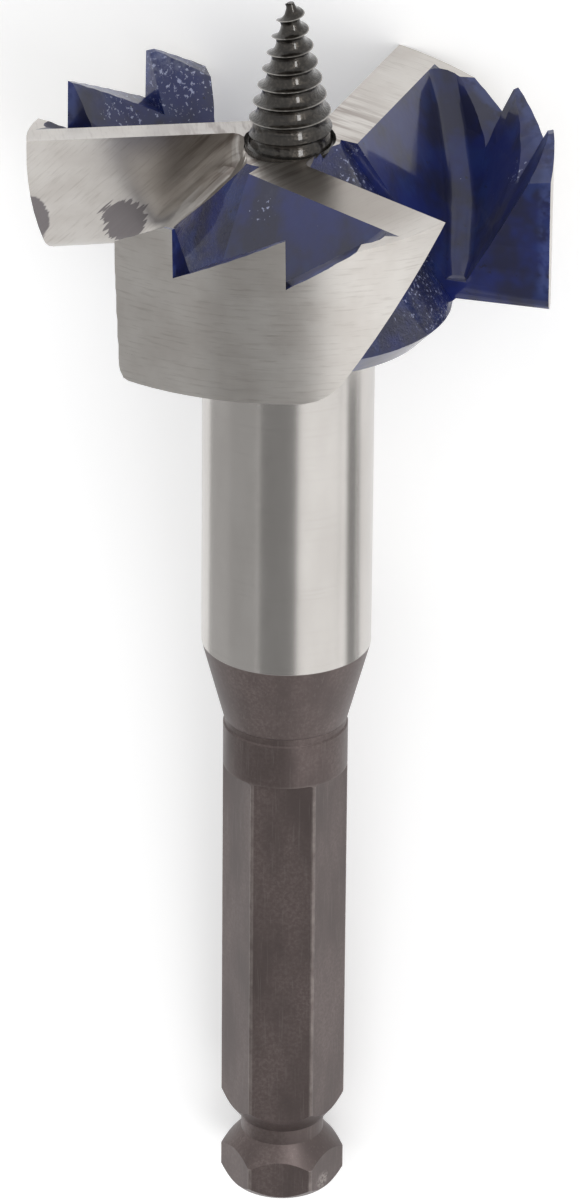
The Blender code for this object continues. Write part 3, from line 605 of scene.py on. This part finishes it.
def grind_place(place, normal):
    """Where a point falls in its grinding pattern: U along the wheel's lines, V across them."""
    radius = place.xy.length
    if radius > HEAD_RADIUS - RIM_SKIN and normal.xy.dot(place.xy) > FACING_OUT * radius:
        return math.atan2(place.y, place.x) * HEAD_RADIUS, place.z
    for angle, fall in zip(LIP_ANGLES, LIP_FALLS):
        local = in_wing(place, angle)
        if normal.dot(relief_normal(angle, fall)) > SAME_PLANE:
            return local.y, local.x + LIP_PATTERN_STEP * angle
        if flute_side(place, normal, angle):
            rise = local.z - LIP_TOP
            first = -local.x * math.cos(GRIND_SLOPE) + rise * math.sin(GRIND_SLOPE)
            second = local.x * math.sin(GRIND_SLOPE) + rise * math.cos(GRIND_SLOPE)
            return first, second + FLUTE_PATTERN_STEP * angle
    return place.x, place.y + place.z


def turned_side(normal, corners):
    """1 or -1 for a facet of a turned surface that looks away from or towards the axis, else 0."""
    if normal.xy.length < LEAST_SIDEWAYS:
        return 0
    flat = normal.xy.normalized()
    for side in (1, -1):
        if all(flat.dot(corner.xy.normalized()) * side > math.cos(TURNED_FACET) for corner in corners):
            return side
    return 0


def smooth_normals(mesh, kinds):
    """A normal for each corner of each face. On turned surfaces it is the surface's own; elsewhere
    it is shared among the faces of one finish that meet at less than the sharp angle."""
    places = [vert.co.copy() for vert in mesh.vertices]
    faces = mesh.polygons
    sides = []
    around = [[] for _ in places]
    for face in faces:
        corners = [places[i] for i in face.vertices]
        inside = kinds[face.index] == GROUND and face.center.xy.length < HEAD_RADIUS - RIM_SKIN
        sides.append(0 if inside else turned_side(face.normal, corners))
        for i in face.vertices:
            around[i].append(face.index)
    normals = []
    for face in faces:
        own = face.normal
        lacquered = kinds[face.index] in (LACQUER, CAST)
        least = math.cos(LACQUERED_SHARP_ANGLE if lacquered else SHARP_ANGLE)
        for i in face.vertices:
            if sides[face.index]:
                out = places[i].xy.normalized() * own.xy.length * sides[face.index]
                normals.append(Vector((*out, own.z)).normalized())
                continue
            total = Vector()
            for other in around[i]:
                same = kinds[other] == kinds[face.index] and not sides[other]
                if same and faces[other].normal.dot(own) > least:
                    total += faces[other].normal * faces[other].area
            normals.append(total.normalized() if total.length > 0 else own.copy())
    return normals


def finish_head(piece):
    """Gives each face its finish and its place in the grinding lines, lays the piece on its back
    and sets its shading normals."""
    mesh = piece.data
    places = [vert.co.copy() for vert in mesh.vertices]
    grind = mesh.uv_layers.new(name="grind")
    kinds = []
    for face in mesh.polygons:
        kind = face_kind(face.center, face.normal)
        kinds.append(kind)
        face.material_index = kind
        if kind == GROUND:
            corners = [face.center.lerp(places[i], CORNER_SHARE) for i in face.vertices]
            flats = [grind_place(corner, face.normal) for corner in corners]
            along = [u for u, _ in flats]
            if max(along) - min(along) > RIM_SEAM_GAP:
                turn_round = 2 * math.pi * HEAD_RADIUS
                flats = [(u + turn_round if u < 0 else u, v) for u, v in flats]
            for loop, flat in zip(face.loop_indices, flats):
                grind.data[loop].uv = flat
    normals = [rest_turn @ normal for normal in smooth_normals(mesh, kinds)]
    mesh.transform(upright_to_rest)
    mesh.shade_smooth()
    mesh.normals_split_custom_set(normals)


POCKET_WORN_SPOTS = [
    ((-12.0, 21.5, 115.5), 9.0),
    ((-17.5, 16.0, 112.5), 5.0),
    ((-24.0, 2.0, 117.0), 3.5),
    ((-3.5, -10.5, 114.5), 3.0),
    ((21.5, 3.0, 113.0), 3.0),
]
HUB_WORN_SPOTS = [
    ((6.5, -1.0, 113.0), 7.0),
    ((14.0, -5.0, 104.0), 9.0),
]

head = head_piece()
for material in (
    make_ground_steel(),
    make_lacquer("lacquered pockets", POCKET_WORN_SPOTS, 0.22, 0.35, 0.12, frosted=True),
    make_lacquer("lacquered forging", HUB_WORN_SPOTS, 1.6, 1.0, 0.22, frosted=False),
    make_shank_steel(),
    make_bore_steel(),
):
    head.data.materials.append(material)
finish_head(head)
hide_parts("cutter_body")
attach(head, "root")


# Lead point. A tapered right-hand wood screw of hardened steel, black and oily, that pulls the
# bit into the wood. Its stem goes down into the head, where the grub screw holds it.
LEAD_FOOT = 116.05
LEAD_LENGTH = 15.6
LEAD_COLLAR_LENGTH = 1.0
LEAD_COLLAR_RADIUS = 4.46
LEAD_CREST_RADIUS = 4.1
LEAD_STRAIGHT_LENGTH = 3.9
LEAD_TAPER = math.tan(math.radians(14.7))
LEAD_TIP_RADIUS = 0.5
LEAD_POINT_SLOPE = math.tan(math.radians(38.0))
THREAD_PITCH = 1.7
THREAD_DEPTH = 0.66
THREAD_RUN_OUT = 3.0
THREAD_STEPS = 64
THREAD_ROWS = 14
THREAD_TURNS_BELOW = 2
THREAD_TURNS_ABOVE = 1
THREAD_CREST_SHARPNESS = 3.2
THREAD_SHARE_OF_POINT = 0.5
THREAD_MERGE_DISTANCE = 0.0005
RUBBED_CREST_SHARPNESS = 6
LEAD_LEAST_RADIUS = 0.12
LEAD_SHARP_ANGLE = math.radians(38)
COLLAR_TOP_BEVEL = 0.12
COLLAR_FOOT_BEVEL = 0.08
STEM_END_BEVEL = 0.5
STEM_RADIUS = 3.2
STEM_LENGTH = 30.0


def lead_crest(rise):
    """Radius of the thread's crests at a height over the collar's foot."""
    taper = max(rise - LEAD_STRAIGHT_LENGTH, 0.0) * LEAD_TAPER
    to_tip = LEAD_TIP_RADIUS + (LEAD_LENGTH - rise) * LEAD_POINT_SLOPE
    return min(LEAD_CREST_RADIUS - taper, to_tip)


def lead_depth(rise):
    """Depth of the thread, which runs out over the collar and shrinks with the point."""
    run_out = min(max((rise - LEAD_COLLAR_LENGTH) / THREAD_RUN_OUT, 0.0), 1.0)
    return min(THREAD_DEPTH * run_out, THREAD_SHARE_OF_POINT * lead_crest(rise))


def lead_piece():
    """A thread turned by the Screw modifier from one pitch of its outline, then drawn in to its
    taper and given a collar and a stem."""
    bpy.ops.object.select_all(action="DESELECT")
    outline = bpy.data.meshes.new("lead_point")
    rows = range(THREAD_ROWS + 1)
    points = [(LEAD_CREST_RADIUS, 0.0, THREAD_PITCH * row / THREAD_ROWS) for row in rows]
    outline.from_pydata(points, [(row, row + 1) for row in range(THREAD_ROWS)], [])
    piece = bpy.data.objects.new("lead_point", outline)
    scene.collection.objects.link(piece)
    bpy.context.view_layer.objects.active = piece
    piece.select_set(True)
    screw = piece.modifiers.new("thread", "SCREW")
    screw.axis = "Z"
    screw.steps = THREAD_STEPS
    screw.render_steps = THREAD_STEPS
    screw.screw_offset = THREAD_PITCH
    turns = math.ceil((LEAD_LENGTH - LEAD_COLLAR_LENGTH) / THREAD_PITCH)
    screw.iterations = turns + THREAD_TURNS_BELOW + THREAD_TURNS_ABOVE
    bpy.ops.object.modifier_apply(modifier=screw.name)
    bpy.ops.object.mode_set(mode="EDIT")
    bpy.ops.mesh.select_all(action="SELECT")
    bpy.ops.mesh.remove_doubles(threshold=THREAD_MERGE_DISTANCE)
    bpy.ops.object.mode_set(mode="OBJECT")
    mesh = piece.data
    crests = []
    for vert in mesh.vertices:
        turn = math.atan2(vert.co.y, vert.co.x) / (2 * math.pi)
        phase = (vert.co.z / THREAD_PITCH - turn) % 1.0
        off_crest = min(phase, 1.0 - phase) * 2
        share = 1.0 - (1.0 - off_crest) ** THREAD_CREST_SHARPNESS
        rise = vert.co.z - THREAD_TURNS_BELOW * THREAD_PITCH + LEAD_COLLAR_LENGTH
        radius = max(lead_crest(rise) - share * lead_depth(rise), LEAD_LEAST_RADIUS)
        flat = vert.co.xy.normalized() * radius
        vert.co = (flat.x, flat.y, rise + LEAD_FOOT)
        rubbed = (1.0 - off_crest) ** RUBBED_CREST_SHARPNESS
        crests.append(rubbed * lead_depth(rise) / THREAD_DEPTH)
    mark = mesh.attributes.new("crest", "FLOAT", "POINT")
    for i, crest in enumerate(crests):
        mark.data[i].value = crest
    for rise, upper in ((LEAD_COLLAR_LENGTH, False), (LEAD_LENGTH, True)):
        bpy.ops.object.mode_set(mode="EDIT")
        bpy.ops.mesh.select_all(action="SELECT")
        bpy.ops.mesh.bisect(
            plane_co=(0, 0, LEAD_FOOT + rise),
            plane_no=(0, 0, 1),
            use_fill=upper,
            clear_outer=upper,
            clear_inner=not upper,
        )
        bpy.ops.object.mode_set(mode="OBJECT")
    add_collar_and_stem(piece)
    bpy.ops.object.mode_set(mode="EDIT")
    bpy.ops.mesh.select_all(action="SELECT")
    bpy.ops.mesh.normals_make_consistent(inside=False)
    bpy.ops.object.mode_set(mode="OBJECT")
    mesh.transform(upright_to_rest)
    return piece


def add_collar_and_stem(piece):
    """Draws the open rim under the thread down into the collar and the stem, and closes it."""
    mesh = piece.data
    used = [0] * len(mesh.edges)
    for loop in mesh.loops:
        used[loop.edge_index] += 1
    for part in (mesh.vertices, mesh.edges, mesh.polygons):
        part.foreach_set("select", [False] * len(part))
    for edge in mesh.edges:
        if used[edge.index] == 1:
            edge.select = True
            for i in edge.vertices:
                mesh.vertices[i].select = True
    bpy.ops.object.mode_set(mode="EDIT")
    bpy.ops.mesh.select_mode(type="EDGE")
    for radius, height in (
        (LEAD_COLLAR_RADIUS, LEAD_FOOT + LEAD_COLLAR_LENGTH - COLLAR_TOP_BEVEL),
        (LEAD_COLLAR_RADIUS, LEAD_FOOT + COLLAR_FOOT_BEVEL),
        (LEAD_COLLAR_RADIUS - COLLAR_FOOT_BEVEL, LEAD_FOOT),
        (STEM_RADIUS, LEAD_FOOT),
        (STEM_RADIUS, LEAD_FOOT - STEM_LENGTH + STEM_END_BEVEL),
        (STEM_RADIUS - STEM_END_BEVEL, LEAD_FOOT - STEM_LENGTH),
    ):
        bpy.ops.mesh.extrude_edges_move()
        bpy.ops.object.mode_set(mode="OBJECT")
        for vert in piece.data.vertices:
            if vert.select:
                flat = vert.co.xy.normalized() * radius
                vert.co = (flat.x, flat.y, height)
        bpy.ops.object.mode_set(mode="EDIT")
    bpy.ops.mesh.edge_face_add()
    bpy.ops.object.mode_set(mode="OBJECT")


OILED_BLACK = (0.016, 0.013, 0.010)
OILED_GREY = (0.050, 0.043, 0.035)
RUBBED_CREST = (0.42, 0.40, 0.37)


def make_oiled_black():
    """Blackened steel under oil, with the thread's crests rubbed bright and turning rings in its bump."""
    material, tree, shader, place = new_material("oiled black steel", 0.85)
    spot = place.outputs["Place"]
    grain = noise(tree, spot, 2.2, 4.0, 0.6)
    colour = blend(tree, fade(tree, grain, 0.4, 0.8), OILED_BLACK, OILED_GREY)
    crest = new_node(tree, "Attribute", attribute_name="crest")
    worn = math_node(tree, "MULTIPLY_ADD", noise(tree, spot, 1.4, 3.0, 0.6, shift=17.0), 1.0, 0.25)
    worn = math_node(tree, "MULTIPLY", fade(tree, crest.outputs["Fac"], 0.6, 0.98), worn, clamp=True)
    colour = blend(tree, worn, colour, RUBBED_CREST)
    tree.links.new(colour, shader.inputs["Base Color"])
    shader.inputs["Roughness"].default_value = 0.3
    shader.inputs["Coat Weight"].default_value = 0.6
    shader.inputs["Coat Roughness"].default_value = 0.06
    rings = noise(tree, spot, 1.0, 2.0, 0.5, (0.12, 0.12, 2.6), 3.0)
    add_bump(tree, shader, math_node(tree, "MULTIPLY_ADD", rings, 1.2, grain), 0.8, 0.12)
    return material


lead = lead_piece()
lead.data.materials.append(make_oiled_black())
bpy.ops.object.shade_smooth_by_angle(angle=LEAD_SHARP_ANGLE)
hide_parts("feed_screw")
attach(lead, "root")


# Grub screw. A black socket screw with a cup point, run in through the far side of the round body
# to hold the lead point's stem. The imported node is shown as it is, with a finish of its own.
GRUB_BLACK = (0.035, 0.035, 0.037)
GRUB_GREY = (0.075, 0.073, 0.072)


def make_black_oxide():
    """Black oxide with a fine grain."""
    material, tree, shader, place = new_material("black oxide", 0.7)
    grain = noise(tree, place.outputs["Place"], 4.0, 3.0, 0.6)
    colour = blend(tree, grain, GRUB_BLACK, GRUB_GREY)
    tree.links.new(colour, shader.inputs["Base Color"])
    shader.inputs["Roughness"].default_value = 0.42
    add_bump(tree, shader, grain, 0.3, 0.03)
    return material


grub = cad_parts["set_screw"]
grub.data.materials.clear()
grub.data.materials.append(make_black_oxide())


# Table and light. A white table under soft boxes. Boards that show only in reflections stand round
# the bit, as in a packshot, and give its steel the dark and bright bands that show its form.
WHITE = (1.0, 1.0, 1.0)
TABLE_WIDTH = 6.0
TABLE_SEEN = (0.97, 0.97, 0.97)
TABLE_AS_BOUNCE = (0.6, 0.6, 0.6)
TABLE_GLOW = 0.24
AIR_AS_LIGHT = 0.5
BOARD_DISTANCE = 520.0
BOARD_CENTRE = Vector((0.0, 0.0, 80.0))


def seen_or_mirrored(tree):
    """1 where the camera sees a surface, directly, through glass or in a reflection, else 0."""
    path = tree.nodes.new("ShaderNodeLightPath").outputs
    seen = math_node(tree, "MAXIMUM", path["Is Camera Ray"], path["Is Transmission Ray"])
    return math_node(tree, "MAXIMUM", seen, path["Is Glossy Ray"])


def make_table():
    """The table, which looks white and throws a little less light back on the bit."""
    bpy.ops.object.select_all(action="DESELECT")
    bpy.ops.mesh.primitive_plane_add(size=TABLE_WIDTH, location=(0, 0, 0))
    table = bpy.context.active_object
    table.name = "table"
    material = bpy.data.materials.new("white table")
    material.use_nodes = True
    tree = material.node_tree
    shader = tree.nodes["Principled BSDF"]
    shader.inputs["Roughness"].default_value = 0.9
    shader.inputs["Specular IOR Level"].default_value = 0.0
    seen = seen_or_mirrored(tree)
    tree.links.new(blend(tree, seen, TABLE_AS_BOUNCE, TABLE_SEEN), shader.inputs["Base Color"])
    shader.inputs["Emission Color"].default_value = (*WHITE, 1.0)
    glow = math_node(tree, "MULTIPLY", seen, TABLE_GLOW)
    tree.links.new(glow, shader.inputs["Emission Strength"])
    table.data.materials.append(material)


def add_soft_box(name, direction, distance, size, power):
    """An area lamp, shown in no reflection, that looks at the bit from a direction in the room."""
    lamp = bpy.data.lights.new(name, "AREA")
    lamp.shape = "RECTANGLE"
    lamp.size, lamp.size_y = size
    lamp.energy = power
    made = bpy.data.objects.new(name, lamp)
    scene.collection.objects.link(made)
    away = Vector(direction).normalized()
    made.matrix_world = Matrix.LocRotScale(away * distance, away.to_track_quat("Z", "Y"), None)
    made.visible_camera = False
    made.visible_glossy = False


def add_board(name, angles, rises, value, distance=BOARD_DISTANCE):
    """A board of one brightness that shows only in reflections. It spans these angles round the
    bit's axis from the camera's side and these rises over the square to it, both in degrees."""
    corners = []
    for angle, rise in ((0, 0), (1, 0), (1, 1), (0, 1)):
        around = math.radians(angles[angle])
        over = math.radians(rises[rise])
        away = Vector((math.sin(around), -math.cos(around), math.tan(over))).normalized()
        corners.append(upright_to_rest @ (BOARD_CENTRE + away * distance))
    mesh = bpy.data.meshes.new(name)
    mesh.from_pydata(corners, [], [(0, 1, 2, 3)])
    board = bpy.data.objects.new(name, mesh)
    scene.collection.objects.link(board)
    material = bpy.data.materials.new(name)
    material.use_nodes = True
    tree = material.node_tree
    shader = tree.nodes["Principled BSDF"]
    shader.inputs["Base Color"].default_value = (0.0, 0.0, 0.0, 1.0)
    shader.inputs["Specular IOR Level"].default_value = 0.0
    shader.inputs["Emission Color"].default_value = (*WHITE, 1.0)
    shader.inputs["Emission Strength"].default_value = value
    mesh.materials.append(material)
    board.visible_camera = False
    board.visible_diffuse = False
    board.visible_shadow = False
    board.visible_transmission = False


make_table()
add_soft_box("key", (0.75, -0.35, 0.8), distance=0.8, size=(0.5, 0.8), power=2.6)
add_soft_box("fill", (-0.9, -0.1, 0.55), distance=0.9, size=(0.5, 0.9), power=1.6)
add_soft_box("top", (0.0, 0.2, 1.0), distance=0.9, size=(0.8, 0.8), power=1.4)
add_board("dark board", angles=(-38, 13), rises=(-46, -4), value=0.28)
add_board("bright board", angles=(16, 71), rises=(-50, -4), value=1.15)
add_board("grey board", angles=(-92, -40), rises=(-50, -4), value=0.45)
add_board("low left board", angles=(-122, -76), rises=(-50, -4), value=0.52, distance=56.0)
add_board("low right board", angles=(98, 124), rises=(-50, -4), value=0.5, distance=48.0)
add_board("slim light", angles=(22, 34), rises=(2, 44), value=14.0)
add_board("dark strip", angles=(79, 96), rises=(-50, -4), value=0.30, distance=48.0)
world = bpy.data.worlds.new("studio")
world.use_nodes = True
scene.world = world
air = world.node_tree
background = air.nodes["Background"]
level = math_node(air, "MULTIPLY_ADD", seen_or_mirrored(air), 1.0 - AIR_AS_LIGHT, AIR_AS_LIGHT)
air.links.new(level, background.inputs["Strength"])
background.inputs["Color"].default_value = (*WHITE, 1.0)
scene.view_settings.view_transform = "Standard"
